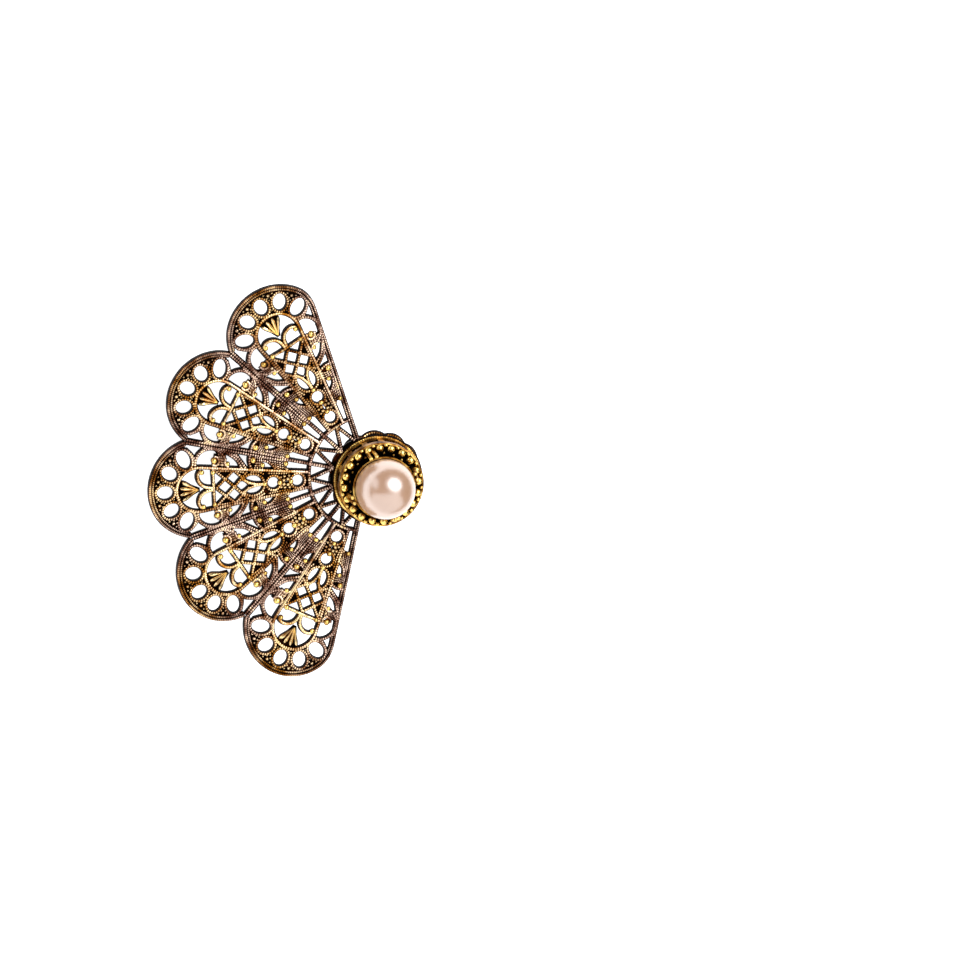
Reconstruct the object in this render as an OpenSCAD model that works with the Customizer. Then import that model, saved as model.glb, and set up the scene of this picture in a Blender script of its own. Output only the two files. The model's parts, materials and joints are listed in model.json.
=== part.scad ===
// Fan earring: a pierced fan of five lobes with a pearl in a gallery crown at its hub.
// It lies face up on a table, on the ends of its post and of its middle lobe.
// All shapes are made in the fan's own frame: the lobes meet at the origin, the middle lobe
// points along -X and +Z is the front. The last step lays the whole earring down at rest.

/* [Fan] */
// Lobes in the fan
lobe_count = 5; // [3:2:5]
// Angle from one lobe to the next, degrees
lobe_step = 30.7; // [30:0.1:31]
// From the point where the lobes meet to the centre of a lobe's round end
end_distance = 28.4; // [28:0.1:29]
// Radius of a lobe's round end
end_radius = 8.5; // [8.4:0.1:8.7]
// Height of a lobe's crest over the valleys beside it, at the notches
flute_rise = 1.2; // [0.8:0.1:1.5]
// Thickness of the sunk ground between the corded lines
ground_thickness = 0.6; // [0.5:0.1:1]
// Height of the corded lines over the ground
cord_relief = 0.4; // [0.2:0.05:0.5]
// Width of a corded line
cord_width = 0.6; // [0.56:0.02:0.66]
// Angle from the fan's axis to its straight outer edges, degrees
edge_angle = 75; // [74:0.5:76]

/* [Crown] */
// Centre of the crown, along the fan's axis
crown_x = 1.7; // [1.2:0.1:2.2]
// Centre of the crown, across the fan's axis
crown_y = -1; // [-1.5:0.1:0]
// Outer radius of the gallery wall at its foot
crown_foot_radius = 6.9; // [6.6:0.1:7]
// Outer radius of the gallery wall at its rim
crown_rim_radius = 7.15; // [7:0.05:7.4]
// Height of the gallery wall
crown_height = 4; // [3.6:0.1:4.6]
// Windows round the gallery wall
window_count = 15; // [12:1:16]
// Height of a window
window_height = 2; // [1.4:0.1:2.2]
// Large balls inside the rim
ball_count = 20; // [16:1:20]
// Radius of a large ball
ball_radius = 0.58; // [0.45:0.01:0.6]

/* [Pearl] */
// Diameter of the pearl
pearl_diameter = 10; // [9:0.5:10]
// Height of the pearl's centre over the crown's rim
pearl_rise = 3.6; // [3.4:0.1:4]
// Wall thickness of the cup that holds the pearl
cup_wall = 0.25; // [0.2:0.05:0.3]

/* [Back] */
// Radius of the scalloped rosette behind the crown
rosette_radius = 7.9; // [7.7:0.1:8.3]
// Scallops round the rosette
scallop_count = 12; // [10:1:14]
// Length of the ear post, with its pad
post_length = 10; // [9.5:0.5:11]
// Diameter of the ear post
post_diameter = 0.8; // [0.7:0.1:1]

/* [Hidden] */
$fn = 48;

// Clear space left between pieces that lie on each other
seat_gap = 0.1;

// Colours
antique_brass = "#8a6a3c";
bright_brass = "#b98d3f";
pearl_pink = "#e9cfc2";

// Lobe chart. A lobe's own axes are u, outward along it, and v, across it. Each row holds the
// corners of one pierced gap on the +v side, and its twin is mirrored to the -v side.
paired_gaps = [
    // column 1: place in the ornament, column 2: corners [u, v]
    ["rim corner", [[27.6, 6.95], [29.9, 7.5], [28.8, 6.05]]],
    ["beside the palmette", [[29.2, 1.4], [31.1, 2.1], [30.2, 2.85], [29.15, 3]]],
    ["inside the scroll", [[26.6, 0.5], [28.1, 1], [28.25, 1.7], [27.5, 2.4], [27.4, 3], [26.6, 2.95]]],
    ["leaf", [[19.9, 3.3], [22.8, 3.6], [23.3, 4.8], [22.4, 5], [20, 4.5]]],
    ["tulip", [[18, 0.4], [19.2, 0.3], [20.3, 0.95], [19.6, 1.5], [18.6, 1.3]]],
    ["slot", [[10.3, 1.65], [13.2, 2.1], [13, 2.95], [10.2, 2.3]]],
];
// Gaps that lie on the lobe's axis
single_gaps = [
    ["lattice", [[22.1, 0], [23.5, 1.5], [24.9, 0], [23.5, -1.5]]],
];
// Round holes on the lobe's axis
round_gaps = [
    // columns: u, radius
    [11.7, 0.95],
    [15.8, 0.95],
];
// Eyelets round the lobe's end
eyelet_count = 5;
eyelet_step = 33;
eyelet_orbit = 5.85;
eyelet_radius = 1.22;
eyelet_stretch = 1.14;
// Crescent gap with a ball in its mouth, on the +v side
crescent_centre = [26.3, 3.85];
crescent_radius = 2.3;
crescent_foot = 4.1;
crescent_ball = [25.3, 4.6];
crescent_ball_clear = 1.2;
// Balls on the lobe's scrolls, on the +v side
scroll_balls = [
    // columns: u, v, radius
    [25.6, 4.7, 0.55],
    [19, 4.3, 0.5],
    [28.05, 3.25, 0.38],
];
// Palmette at the head of the inner loop
palmette_root = [28.6, 0];
palmette_length = 3;
palmette_rays = 4;
palmette_spread = 62;
palmette_ray_radius = 0.3;

// Fluted surface. It is ruled with straight rays from the origin, and its height over a lobe falls
// with the square of the angle from the lobe's axis.
lobe_half = lobe_step / 2;
notch_reach = sqrt(pow(end_radius, 2) - pow(end_distance * sin(lobe_half), 2));
notch_radius = end_distance * cos(lobe_half) + notch_reach;
tip_radius = end_distance + end_radius;
crest_slope = flute_rise / 2 / notch_radius;
flute_fall = flute_rise / notch_radius / pow(lobe_half, 2);
// Rays of one lobe, degrees from its axis. No ray falls on the axis or on a notch.
lobe_rays = [-13.7, -7.63, 0.5, 8.6, 13.4];
side_ray = 22;
ray_reach = 45;
flute_depth = 4;
plate_thickness = ground_thickness + cord_relief;
cut_height = 6;
sector_reach = 60;
edge_apex = [1.1, -1];
hub_radius = 6.3;
hub_foot = -0.2;
// Half the width of the narrowest sunk ground
least_ground = 0.17;

// Heights of the stack at the hub
crown_base = plate_thickness + seat_gap;
crown_top = crown_base + crown_height;
pearl_height = crown_top + pearl_rise;
pearl_radius = pearl_diameter / 2;
rosette_thickness = 0.7;
rosette_top = hub_foot - seat_gap;
rosette_base = rosette_top - rosette_thickness;
post_top = rosette_base - seat_gap;
post_radius = post_diameter / 2;

// Resting pose: the round end of the post and the underside of the middle lobe's end lie on z = 0
contact_arc = 18;
contact_u = end_distance + end_radius * cos(contact_arc);
contact_v = end_radius * sin(contact_arc);
contact_z = facet_z(contact_u, contact_v, lobe_rays[2], lobe_rays[3]);
post_centre_z = post_top - post_length + post_radius;
rest_run = crown_x + contact_u;
rest_drop = contact_z - post_centre_z;
rest_pitch = atan(rest_drop / rest_run) + asin(post_radius / norm([rest_run, rest_drop]));
rest_lift = contact_u * sin(rest_pitch) - contact_z * cos(rest_pitch);
reach_back = (crown_x + rosette_radius) * cos(rest_pitch) - rosette_base * sin(rest_pitch);
reach_front = tip_radius * cos(rest_pitch) + (surface_z(tip_radius, 0) + plate_thickness) * sin(rest_pitch);
rest_shift = (reach_front - reach_back) / 2;

// Slope of the fluted surface along a ray at an angle from its lobe's axis
function flute(angle) = crest_slope - flute_fall * pow(angle, 2);

// Height of the fluted surface over a point of a lobe's chart
function surface_z(u, v) = norm([u, v]) * flute(atan2(v, u));

// Height over the same point of the flat facet between two rays
function facet_z(u, v, ray_a, ray_b) =
    norm([u, v]) * (flute(ray_a) * sin(ray_b - atan2(v, u)) + flute(ray_b) * sin(atan2(v, u) - ray_a))
    / sin(ray_b - ray_a);

function lobe_turn(i) = 180 + (i - (lobe_count - 1) / 2) * lobe_step;

function ray_end(turn, angle, z) = [ray_reach * cos(turn + angle), ray_reach * sin(turn + angle), z];

// Lays the earring down on the table
module at_rest() {
    translate([rest_shift, 0, rest_lift])
        rotate([0, -rest_pitch, 0])
            children();
}

// Repeats a lobe's shapes round the fan
module on_each_lobe() {
    for (i = [0 : lobe_count - 1])
        rotate(lobe_turn(i))
            children();
}

// Everything under the fluted surface, raised by lift. A cutter gets some over, to the sides and below.
module under_flutes(lift, over = 0) {
    last = lobe_count - 1;
    rays = concat(
        [[lobe_turn(0), -side_ray - over]],
        [for (i = [0 : last]) for (angle = lobe_rays) [lobe_turn(i), angle]],
        [[lobe_turn(last), side_ray + over]]
    );
    count = len(rays);
    tops = [for (ray = rays) ray_end(ray[0], ray[1], lift + ray_reach * flute(ray[1]))];
    feet = [for (ray = rays) ray_end(ray[0], ray[1], -flute_depth - over)];
    apex = 2 * count;
    foot = apex + 1;
    polyhedron(
        points = concat(tops, feet, [[0, 0, lift], [0, 0, -flute_depth - over]]),
        faces = concat(
            [for (k = [0 : count - 2]) [apex, k + 1, k]],
            [for (k = [0 : count - 2]) [foot, count + k, count + k + 1]],
            [for (k = [0 : count - 2]) [k, k + 1, count + k + 1, count + k]],
            [[apex, 0, count, foot], [apex, foot, 2 * count - 1, count - 1]]
        )
    );
}

// Everything between the fan's two straight outer edges
module between_edges() {
    translate(edge_apex)
        polygon([
            [0, 0],
            sector_reach * [-cos(edge_angle), sin(edge_angle)],
            [-sector_reach, sector_reach],
            [-sector_reach, -sector_reach],
            sector_reach * [-cos(edge_angle), -sin(edge_angle)],
        ]);
}

module fan_outline() {
    intersection() {
        between_edges();
        union() {
            circle(r = notch_radius - cord_width / 2, $fn = 60);
            on_each_lobe()
                translate([end_distance, 0])
                    circle(r = end_radius, $fn = 40);
        }
    }
}

module eyelets() {
    for (k = [0 : eyelet_count - 1])
        translate([end_distance, 0])
            rotate((k - (eyelet_count - 1) / 2) * eyelet_step)
                translate([eyelet_orbit, 0])
                    scale([eyelet_stretch, 1])
                        circle(r = eyelet_radius, $fn = 12);
}

module crescent() {
    difference() {
        translate(crescent_centre)
            circle(r = crescent_radius, $fn = 20);
        translate(crescent_ball)
            circle(r = crescent_ball_clear, $fn = 12);
        translate([crescent_centre[0] - 2 * crescent_radius, crescent_foot - 4 * crescent_radius])
            square(4 * crescent_radius);
        translate([crescent_ball[0] - crescent_radius, crescent_foot - crescent_radius])
            square([crescent_radius, crescent_radius + crescent_ball_clear]);
    }
}

module lobe_gaps() {
    eyelets();
    for (side = [0, 1])
        mirror([0, side]) {
            crescent();
            for (gap = paired_gaps)
                polygon(gap[1]);
        }
    for (gap = single_gaps)
        polygon(gap[1]);
    for (gap = round_gaps)
        translate([gap[0], 0])
            circle(r = gap[1], $fn = 12);
}

// The flat pattern of the fan: its outline with every gap cut out
module fan_net() {
    difference() {
        fan_outline();
        on_each_lobe()
            lobe_gaps();
    }
}

// One lobe's ground, which lies deeper than the cords along every edge and between the lobes
module lobe_ground() {
    offset(delta = least_ground)
        offset(delta = -cord_width - least_ground)
            difference() {
                intersection() {
                    polygon([
                        [0, 0],
                        sector_reach * [cos(lobe_half), -sin(lobe_half)],
                        sector_reach * [cos(lobe_half), sin(lobe_half)],
                    ]);
                    union() {
                        circle(r = notch_radius - cord_width / 2, $fn = 60);
                        translate([end_distance, 0])
                            circle(r = end_radius, $fn = 40);
                    }
                }
                lobe_gaps();
            }
}

module sunk_ground() {
    intersection() {
        on_each_lobe()
            lobe_ground();
        offset(delta = -cord_width)
            between_edges();
    }
}

module upright(height) {
    translate([0, 0, -height / 2])
        linear_extrude(height = height)
            children();
}

module scroll_ball(u, v, radius) {
    translate([u, v, surface_z(u, v) + (ground_thickness + plate_thickness) / 2])
        sphere(r = radius, $fn = 6);
}

module palmette() {
    for (k = [0 : palmette_rays - 1]) {
        angle = (k / (palmette_rays - 1) - 0.5) * palmette_spread;
        tip = palmette_root + (palmette_length - palmette_ray_radius) * [cos(angle), sin(angle)];
        tip_z = surface_z(tip[0], tip[1]) + ground_thickness + palmette_ray_radius / 2;
        hull() {
            translate([palmette_root[0], palmette_root[1], surface_z(palmette_root[0], 0) + ground_thickness])
                sphere(r = palmette_ray_radius / 2, $fn = 6);
            translate([tip[0], tip[1], tip_z])
                sphere(r = palmette_ray_radius, $fn = 6);
        }
    }
}

module filigree_fan() {
    color(antique_brass)
        at_rest()
            difference() {
                union() {
                    difference() {
                        intersection() {
                            upright(cut_height)
                                fan_net();
                            under_flutes(plate_thickness);
                        }
                        under_flutes(0, 1);
                        difference() {
                            upright(cut_height)
                                sunk_ground();
                            under_flutes(ground_thickness, 1);
                        }
                    }
                    on_each_lobe() {
                        palmette();
                        for (side = [-1, 1])
                            for (ball = scroll_balls)
                                scroll_ball(ball[0], side * ball[1], ball[2]);
                    }
                    translate([crown_x, crown_y, hub_foot])
                        cylinder(h = plate_thickness - hub_foot, r = hub_radius);
                }
                translate([crown_x, crown_y, plate_thickness])
                    cylinder(h = cut_height, r = crown_foot_radius + 2 * seat_gap);
                // The straight sides fall below the hub, so they are cut level over the rosette.
                translate([crown_x, crown_y, hub_foot - cut_height])
                    cylinder(h = cut_height, r = rosette_radius + 2 * seat_gap);
            }
}

module back_rosette() {
    scallop_radius = 1.4 * rosette_radius * sin(180 / scallop_count);
    scallop_orbit = rosette_radius - scallop_radius;
    border = 0.5;
    web_half_angle = 4;
    plate_radius = rosette_radius - 1.05;
    slit_half_angle = 180 / scallop_count - web_half_angle;
    wedge = 2 * rosette_radius * [cos(slit_half_angle), sin(slit_half_angle)];
    color(antique_brass)
        at_rest()
            translate([crown_x, crown_y, rosette_base])
                linear_extrude(height = rosette_thickness)
                    difference() {
                        union() {
                            circle(r = plate_radius);
                            for (k = [0 : scallop_count - 1])
                                rotate(k * 360 / scallop_count)
                                    translate([scallop_orbit, 0])
                                        circle(r = scallop_radius);
                        }
                        for (k = [0 : scallop_count - 1])
                            rotate(k * 360 / scallop_count)
                                difference() {
                                    intersection() {
                                        translate([scallop_orbit, 0])
                                            circle(r = scallop_radius - border);
                                        polygon([[0, 0], wedge, [wedge[0], -wedge[1]]]);
                                    }
                                    circle(r = plate_radius);
                                }
                    }
}

module ring_of(count, orbit, height, radius, turn) {
    for (k = [0 : count - 1])
        rotate(turn + k * 360 / count)
            translate([orbit, 0, height])
                sphere(r = radius, $fn = 24);
}

module claw(turn) {
    prong_radius = 0.28;
    prong_spread = 5;
    foot_orbit = 5.95;
    foot_height = crown_height - 0.9;
    tip_orbit = 5.62;
    tip_height = crown_height + pearl_rise - 0.7;
    lean = atan((foot_orbit - tip_orbit) / (tip_height - foot_height));
    for (side = [-1, 1])
        rotate(turn + side * prong_spread)
            translate([foot_orbit, 0, foot_height])
                rotate([0, -lean, 0]) {
                    cylinder(h = (tip_height - foot_height) / cos(lean), r = prong_radius, $fn = 16);
                    translate([0, 0, (tip_height - foot_height) / cos(lean)])
                        sphere(r = prong_radius, $fn = 16);
                }
}

module gallery_crown() {
    wall = 0.5;
    floor_thickness = 0.5;
    foot_band = 0.5;
    ledge_height = crown_height - 0.75;
    ledge_thickness = 0.45;
    dish_radius = 5.35;
    dish_floor_radius = 2;
    dish_floor = crown_height + pearl_rise - pearl_radius - cup_wall - seat_gap - 0.15;
    rim_roll = 0.24;
    window_width = 0.68 * 2 * PI * crown_foot_radius / window_count;
    ball_clearance = 0.05;
    ball_orbit = crown_rim_radius - wall - ball_radius - ball_clearance;
    ball_height = ledge_height + 0.8 * ball_radius;
    bead_radius = 0.24;
    bead_orbit = ball_orbit + 0.34;
    inner_orbit = dish_radius - 0.1;
    half_pitch = 180 / ball_count;
    claw_turn = 16;
    claw_count = 4;
    color(bright_brass)
        at_rest()
            translate([crown_x, crown_y, crown_base]) {
                difference() {
                    rotate_extrude()
                        polygon([
                            [0, 0],
                            [crown_foot_radius, 0],
                            [crown_rim_radius, crown_height],
                            [crown_rim_radius - wall, crown_height],
                            [crown_rim_radius - wall, ledge_height],
                            [dish_radius, ledge_height],
                            [dish_floor_radius, dish_floor],
                            [0, dish_floor],
                            [0, dish_floor - ledge_thickness],
                            [dish_floor_radius, dish_floor - ledge_thickness],
                            [dish_radius, ledge_height - ledge_thickness],
                            [crown_foot_radius - wall, ledge_height - ledge_thickness],
                            [crown_foot_radius - wall, floor_thickness],
                            [0, floor_thickness],
                        ]);
                    for (k = [0 : window_count - 1])
                        rotate(k * 360 / window_count)
                            translate([crown_foot_radius, 0, foot_band + window_height / 2])
                                cube([4 * wall, window_width, window_height], center = true);
                }
                rotate_extrude()
                    translate([crown_rim_radius - rim_roll, crown_height])
                        circle(r = rim_roll, $fn = 24);
                ring_of(ball_count, ball_orbit, ball_height, ball_radius, 0);
                ring_of(ball_count, bead_orbit, ledge_height + bead_radius / 2, bead_radius, half_pitch);
                ring_of(ball_count, inner_orbit, ledge_height, bead_radius, half_pitch);
                for (k = [0 : claw_count - 1])
                    claw(claw_turn + k * 360 / claw_count);
            }
}

module pearl_cup() {
    lip_drop = 1.1;
    clearance = 0.15;
    inner = pearl_radius + clearance;
    color(bright_brass)
        at_rest()
            translate([crown_x, crown_y, pearl_height])
                difference() {
                    sphere(r = inner + cup_wall);
                    sphere(r = inner);
                    translate([-pearl_diameter, -pearl_diameter, -lip_drop])
                        cube(2 * pearl_diameter);
                }
}

module pearl() {
    color(pearl_pink)
        at_rest()
            translate([crown_x, crown_y, pearl_height])
                sphere(r = pearl_radius);
}

module ear_post() {
    pad_radius = 2.5;
    pad_thickness = 0.5;
    color(bright_brass)
        at_rest()
            translate([crown_x, crown_y, 0]) {
                translate([0, 0, post_top - pad_thickness])
                    cylinder(h = pad_thickness, r = pad_radius);
                translate([0, 0, post_centre_z])
                    cylinder(h = post_top - pad_thickness / 2 - post_centre_z, r = post_radius);
                translate([0, 0, post_centre_z])
                    sphere(r = post_radius);
            }
}

filigree_fan();
back_rosette();
gallery_crown();
pearl_cup();
pearl();
ear_post();
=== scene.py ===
"""Fan earring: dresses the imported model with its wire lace, beads, finishes, stage and camera.

Lengths are millimetres in the fan's own frame until the last step, which lays the earring down at
rest and turns them to metres. A lobe's chart has u outward along the lobe and v across it.
"""

import json
import math

import bpy
import numpy as np
from mathutils import Matrix, Vector
from mathutils.geometry import tessellate_polygon


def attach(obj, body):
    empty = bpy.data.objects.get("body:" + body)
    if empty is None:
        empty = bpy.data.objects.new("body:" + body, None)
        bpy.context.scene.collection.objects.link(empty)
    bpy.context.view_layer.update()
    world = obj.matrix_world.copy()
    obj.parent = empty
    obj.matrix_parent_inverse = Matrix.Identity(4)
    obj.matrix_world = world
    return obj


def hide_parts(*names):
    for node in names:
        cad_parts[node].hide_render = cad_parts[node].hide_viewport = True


bl_info = {
    "name": "Fan earring",
    "version": (1, 0, 0),
    "blender": (4, 5, 0),
    "location": "3D View > Sidebar > Earring",
    "description": "Builds the lace, beads and finishes of a fan earring round its packed model",
    "category": "Object",
}

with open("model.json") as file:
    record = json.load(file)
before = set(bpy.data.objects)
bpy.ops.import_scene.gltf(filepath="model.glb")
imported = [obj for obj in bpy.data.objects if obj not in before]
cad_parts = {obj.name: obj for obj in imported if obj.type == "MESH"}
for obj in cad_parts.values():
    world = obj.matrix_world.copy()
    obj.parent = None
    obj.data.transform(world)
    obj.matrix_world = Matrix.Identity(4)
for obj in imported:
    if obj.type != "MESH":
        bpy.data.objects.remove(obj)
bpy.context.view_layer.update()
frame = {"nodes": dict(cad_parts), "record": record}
MM = 0.001

# The fan, as its solid has it
LOBES = 5
LOBE_STEP = 30.7
LOBE_HALF = LOBE_STEP / 2
END_DISTANCE = 28.4
END_RADIUS = 8.5
NOTCH_OFFSET = END_DISTANCE * math.sin(math.radians(LOBE_HALF))
NOTCH_RADIUS = END_DISTANCE * math.cos(math.radians(LOBE_HALF)) + math.sqrt(END_RADIUS**2 - NOTCH_OFFSET**2)
FLUTE_RISE = 1.2
CREST_SLOPE = FLUTE_RISE / 2 / NOTCH_RADIUS
FLUTE_FALL = FLUTE_RISE / NOTCH_RADIUS / LOBE_HALF**2
PLATE_TOP = 1.0
GROUND_TOP = 0.6
EDGE_FOOT = (-1.405, 0.487)
EDGE_SLOPE = 13.6
HUB_RADIUS = 6.3
HUB_FOOT = -0.2

# The crown and pearl, as their solids have them
CROWN = (1.7, -1.0)
CROWN_BASE = 1.1
CROWN_HEIGHT = 4.0
RIM_RADIUS = 7.15
FOOT_RADIUS = 6.9
CROWN_BALLS = 20
CLAW_FOOT = (5.98, 3.2)
CLAW_ORBIT = 5.6
CLAW_BELOW_PEARL = 0.65
CLAW_RADIUS = 0.35
FIRST_CLAWS = 16
CLAW_SPREAD = 5
PEARL_RISE = 3.6
PEARL_HEIGHT = CROWN_BASE + CROWN_HEIGHT + PEARL_RISE

# The rosette, as its solid has it, with its heights from the crown's foot
ROSETTE_RADIUS = 7.9
ROSETTE_PLATE = ROSETTE_RADIUS - 1.05
SCALLOPS = 12
SCALLOP_RADIUS = 1.4 * ROSETTE_RADIUS * math.sin(math.pi / SCALLOPS)
ROSETTE_SPAN = (-2.1, -1.4)

# The resting pose, from the direction and place that the frame gives the ear post
POST_MIDDLE = -6.15
POST = next(mount for mount in frame["record"]["mounts"] if mount["name"] == "post")
REST_PITCH = math.asin(POST["axis"][0])
REST_SHIFT = POST["pos_m"][0] / MM - CROWN[0] * math.cos(REST_PITCH) + POST_MIDDLE * math.sin(REST_PITCH)
REST_LIFT = POST["pos_m"][2] / MM - CROWN[0] * math.sin(REST_PITCH) - POST_MIDDLE * math.cos(REST_PITCH)

# The photograph's view: its scale in pixels a millimetre, the pixel of the fan's origin, the turn of
# the fan's axis in the picture, and how far and which way the fan leans from the picture plane
PHOTO_SIZE = 960
PHOTO_SCALE = 6.0
PHOTO_ORIGIN = (365.9, 473.0)
PHOTO_TURN = math.radians(4.09)
PHOTO_LEAN = math.radians(16.725)
LEAN_WAY = (0.6534, -0.757)
CAMERA_DISTANCE = 1.5
SENSOR = 36.0

# Half the floor's side and how far it lies under the earring, in metres
FLOOR_HALF = 1.5
FLOOR_DROP = 0.00002

# The soft boxes: the way from the pearl to each, to the picture's right, up and towards the viewer,
# its distance, width and height in metres, its power in watts and its shape
SOFT_BOXES = (
    ("key", (0.58, 0.3, 0.756), 0.5, 0.51, 0.47, 3.1, "ELLIPSE"),
    ("fill", (-0.62, 0.36, 0.7), 0.55, 0.26, 0.4, 0.4, "ELLIPSE"),
    ("low", (0.05, -0.86, 0.5), 0.5, 1.5, 0.95, 6.3, "RECTANGLE"),
)
LIGHT_COLOUR = "#f5faff"
ROOM_COLOUR = "#f9faff"
ROOM_STRENGTH = 0.16

# The least turn between two faces that keeps the edge between them sharp
SHARP_TURN = math.radians(50)


def rgb(code):
    """Linear red, green and blue of an sRGB hex value."""
    parts = [int(code[i : i + 2], 16) / 255 for i in (1, 3, 5)]
    return tuple(p / 12.92 if p <= 0.04045 else ((p + 0.055) / 1.055) ** 2.4 for p in parts)


def at_rest(points):
    """Points in the fan's frame, in millimetres, laid down at rest in metres."""
    c, s = math.cos(REST_PITCH), math.sin(REST_PITCH)
    x, y, z = np.asarray(points, float).T
    return np.column_stack([x * c - z * s + REST_SHIFT, y, x * s + z * c + REST_LIFT]) * MM


def on_lobe(points, number):
    """Chart points (u, v, height over the fluted surface) in the fan's frame, on one lobe."""
    u, v, height = np.asarray(points, float).T
    angle = np.degrees(np.arctan2(v, u))
    z = np.hypot(u, v) * (CREST_SLOPE - FLUTE_FALL * angle**2) + height
    turn = math.radians(180 + (number - (LOBES - 1) / 2) * LOBE_STEP)
    c, s = math.cos(turn), math.sin(turn)
    return np.column_stack([u * c - v * s, u * s + v * c, z])


def valley_cast(points):
    """How purple-brown the patina is at chart points: most in the valleys and towards the hub."""
    u, v = np.asarray(points, float)[:, :2].T
    share = np.abs(np.degrees(np.arctan2(v, u))) / LOBE_HALF
    return 0.8 * share**2 + 0.45 * np.clip((13 - u) / 5, 0, 1)


def round_crown(points):
    """Points about the crown's own axis, from its foot, in the fan's frame."""
    return np.asarray(points, float) + [CROWN[0], CROWN[1], CROWN_BASE]


class Heap:
    """The points, faces and wear of one piece, gathered before its mesh is made."""

    def __init__(self):
        self.points, self.faces, self.wear, self.count = [], [], [], 0

    def add(self, points, faces, wear):
        self.points.append(np.asarray(points, float))
        self.wear.append(np.broadcast_to(np.asarray(wear, float), len(points)))
        self.faces.extend(tuple(int(i) + self.count for i in face) for face in faces)
        self.count += len(points)

    def placed(self, place, cast=None):
        """This heap's mesh data with its points moved by a function, and its cast from another."""
        points = np.vstack(self.points)
        casts = cast(points) if cast else np.zeros(len(points))
        return place(points), self.faces, np.concatenate(self.wear), casts


def make_piece(name, data, material, replaced=()):
    """One object from mesh data, riding on the earring."""
    points, faces, wear, cast = data
    mesh = bpy.data.meshes.new(name)
    mesh.from_pydata(points.tolist(), [], faces)
    mesh.attributes.new("wear", "FLOAT", "POINT").data.foreach_set("value", wear)
    mesh.attributes.new("cast", "FLOAT", "POINT").data.foreach_set("value", cast)
    mesh.shade_smooth()
    mesh.set_sharp_from_angle(angle=SHARP_TURN)
    mesh.materials.append(material)
    piece = bpy.data.objects.new(name, mesh)
    bpy.context.scene.collection.objects.link(piece)
    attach(piece, "root")
    if replaced:
        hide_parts(*replaced)
    return piece


# Paths in a lobe's chart


def arc(centre, radius, start, end, stretch=1.0, turn=0.0, steps=48):
    """Points of an arc, in degrees, with its first axis stretched and then turned."""
    a = np.radians(np.linspace(start, end, steps))
    x, y = radius * stretch * np.cos(a), radius * np.sin(a)
    c, s = math.cos(math.radians(turn)), math.sin(math.radians(turn))
    return np.column_stack([centre[0] + x * c - y * s, centre[1] + x * s + y * c])


def curve(points, steps=10):
    """A smooth curve through points."""
    p = np.asarray(points, float)
    p = np.vstack([2 * p[0] - p[1], p, 2 * p[-1] - p[-2]])
    t = np.linspace(0, 1, steps, endpoint=False)[:, None]
    out = []
    for a, b, c, d in zip(p[:-3], p[1:-2], p[2:-1], p[3:]):
        square, cube = 2 * a - 5 * b + 4 * c - d, 3 * b - a - 3 * c + d
        out.append(0.5 * (2 * b + (c - a) * t + square * t**2 + cube * t**3))
    return np.vstack(out + [p[-2:-1]])


def mirrored(path):
    """The same path on the other side of the lobe's axis."""
    return np.asarray(path, float) * [1, -1]


def resampled(path, step, closed):
    """Points at an even step along a path, and how far along each lies."""
    path = np.asarray(path, float)
    if closed:
        path = np.vstack([path, path[:1]])
    lengths = np.concatenate([[0], np.cumsum(np.linalg.norm(np.diff(path, axis=0), axis=1))])
    whole = max(2, round(lengths[-1] / step))
    along = np.linspace(0, lengths[-1], whole + 1)
    if closed:
        along = along[:-1]
    points = np.column_stack([np.interp(along, lengths, path[:, i]) for i in range(path.shape[1])])
    return points, along, lengths[-1]


# Cross-section of a corded wire: across in half widths, height as a share, bead share and wear
WIRE = np.array(
    [
        (-1.36, 0.0, 0.0, 0.0),
        (-1.04, 0.55, 0.0, 0.0),
        (-0.84, 0.86, 0.7, 0.4),
        (-0.5, 0.97, 1.0, 0.9),
        (0.0, 1.0, 1.0, 1.0),
        (0.5, 0.97, 1.0, 0.9),
        (0.84, 0.86, 0.7, 0.4),
        (1.04, 0.55, 0.0, 0.0),
        (1.36, 0.0, 0.0, 0.0),
    ]
)

# Cross-section of a palmette's ray, rubbed bright nearly to its edges
RAY = np.array(
    [
        (-1.0, 0.0, 0.0, 0.0),
        (-0.95, 0.5, 0.0, 0.1),
        (-0.7, 0.88, 0.0, 1.0),
        (0.0, 1.0, 0.0, 1.1),
        (0.7, 0.88, 0.0, 1.0),
        (0.95, 0.5, 0.0, 0.1),
        (1.0, 0.0, 0.0, 0.0),
    ]
)

# Cross-section of a flat strip
STRIP = np.array([(-1, 0, 0, 0.3), (-1, 1, 0, 0.1), (1, 1, 0, 0.1), (1, 0, 0, 0.3)], float)

# Between two beads a cord is narrower by this share of its width, and is rubbed to this share of its
# crown's wear: less where the beads are pressed in deeper than DEEP_BEADS
BEAD_WAIST = 0.22
DEEP_BEADS = 0.1
DEEP_WEAR = 0.45
SHALLOW_WEAR = 0.85

# Wear at a ball's foot, how much more its crown has, and how quickly that comes up the ball
BALL_FOOT_WEAR = 0.15
BALL_CROWN_WEAR = 0.95
BALL_WEAR_RISE = 0.6

# Wear of a plate's underside, and of its top where patina lies thick
UNDERSIDE_WEAR = 0.3
GROUND_WEAR = 0.16

# Balls of this radius and more are gilded
LARGE_BALL = 0.4

# How far round the lobe's end, in degrees from its axis, its rim and the ground beside it run
RIM_REACH = 78
GROUND_REACH = 74


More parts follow.
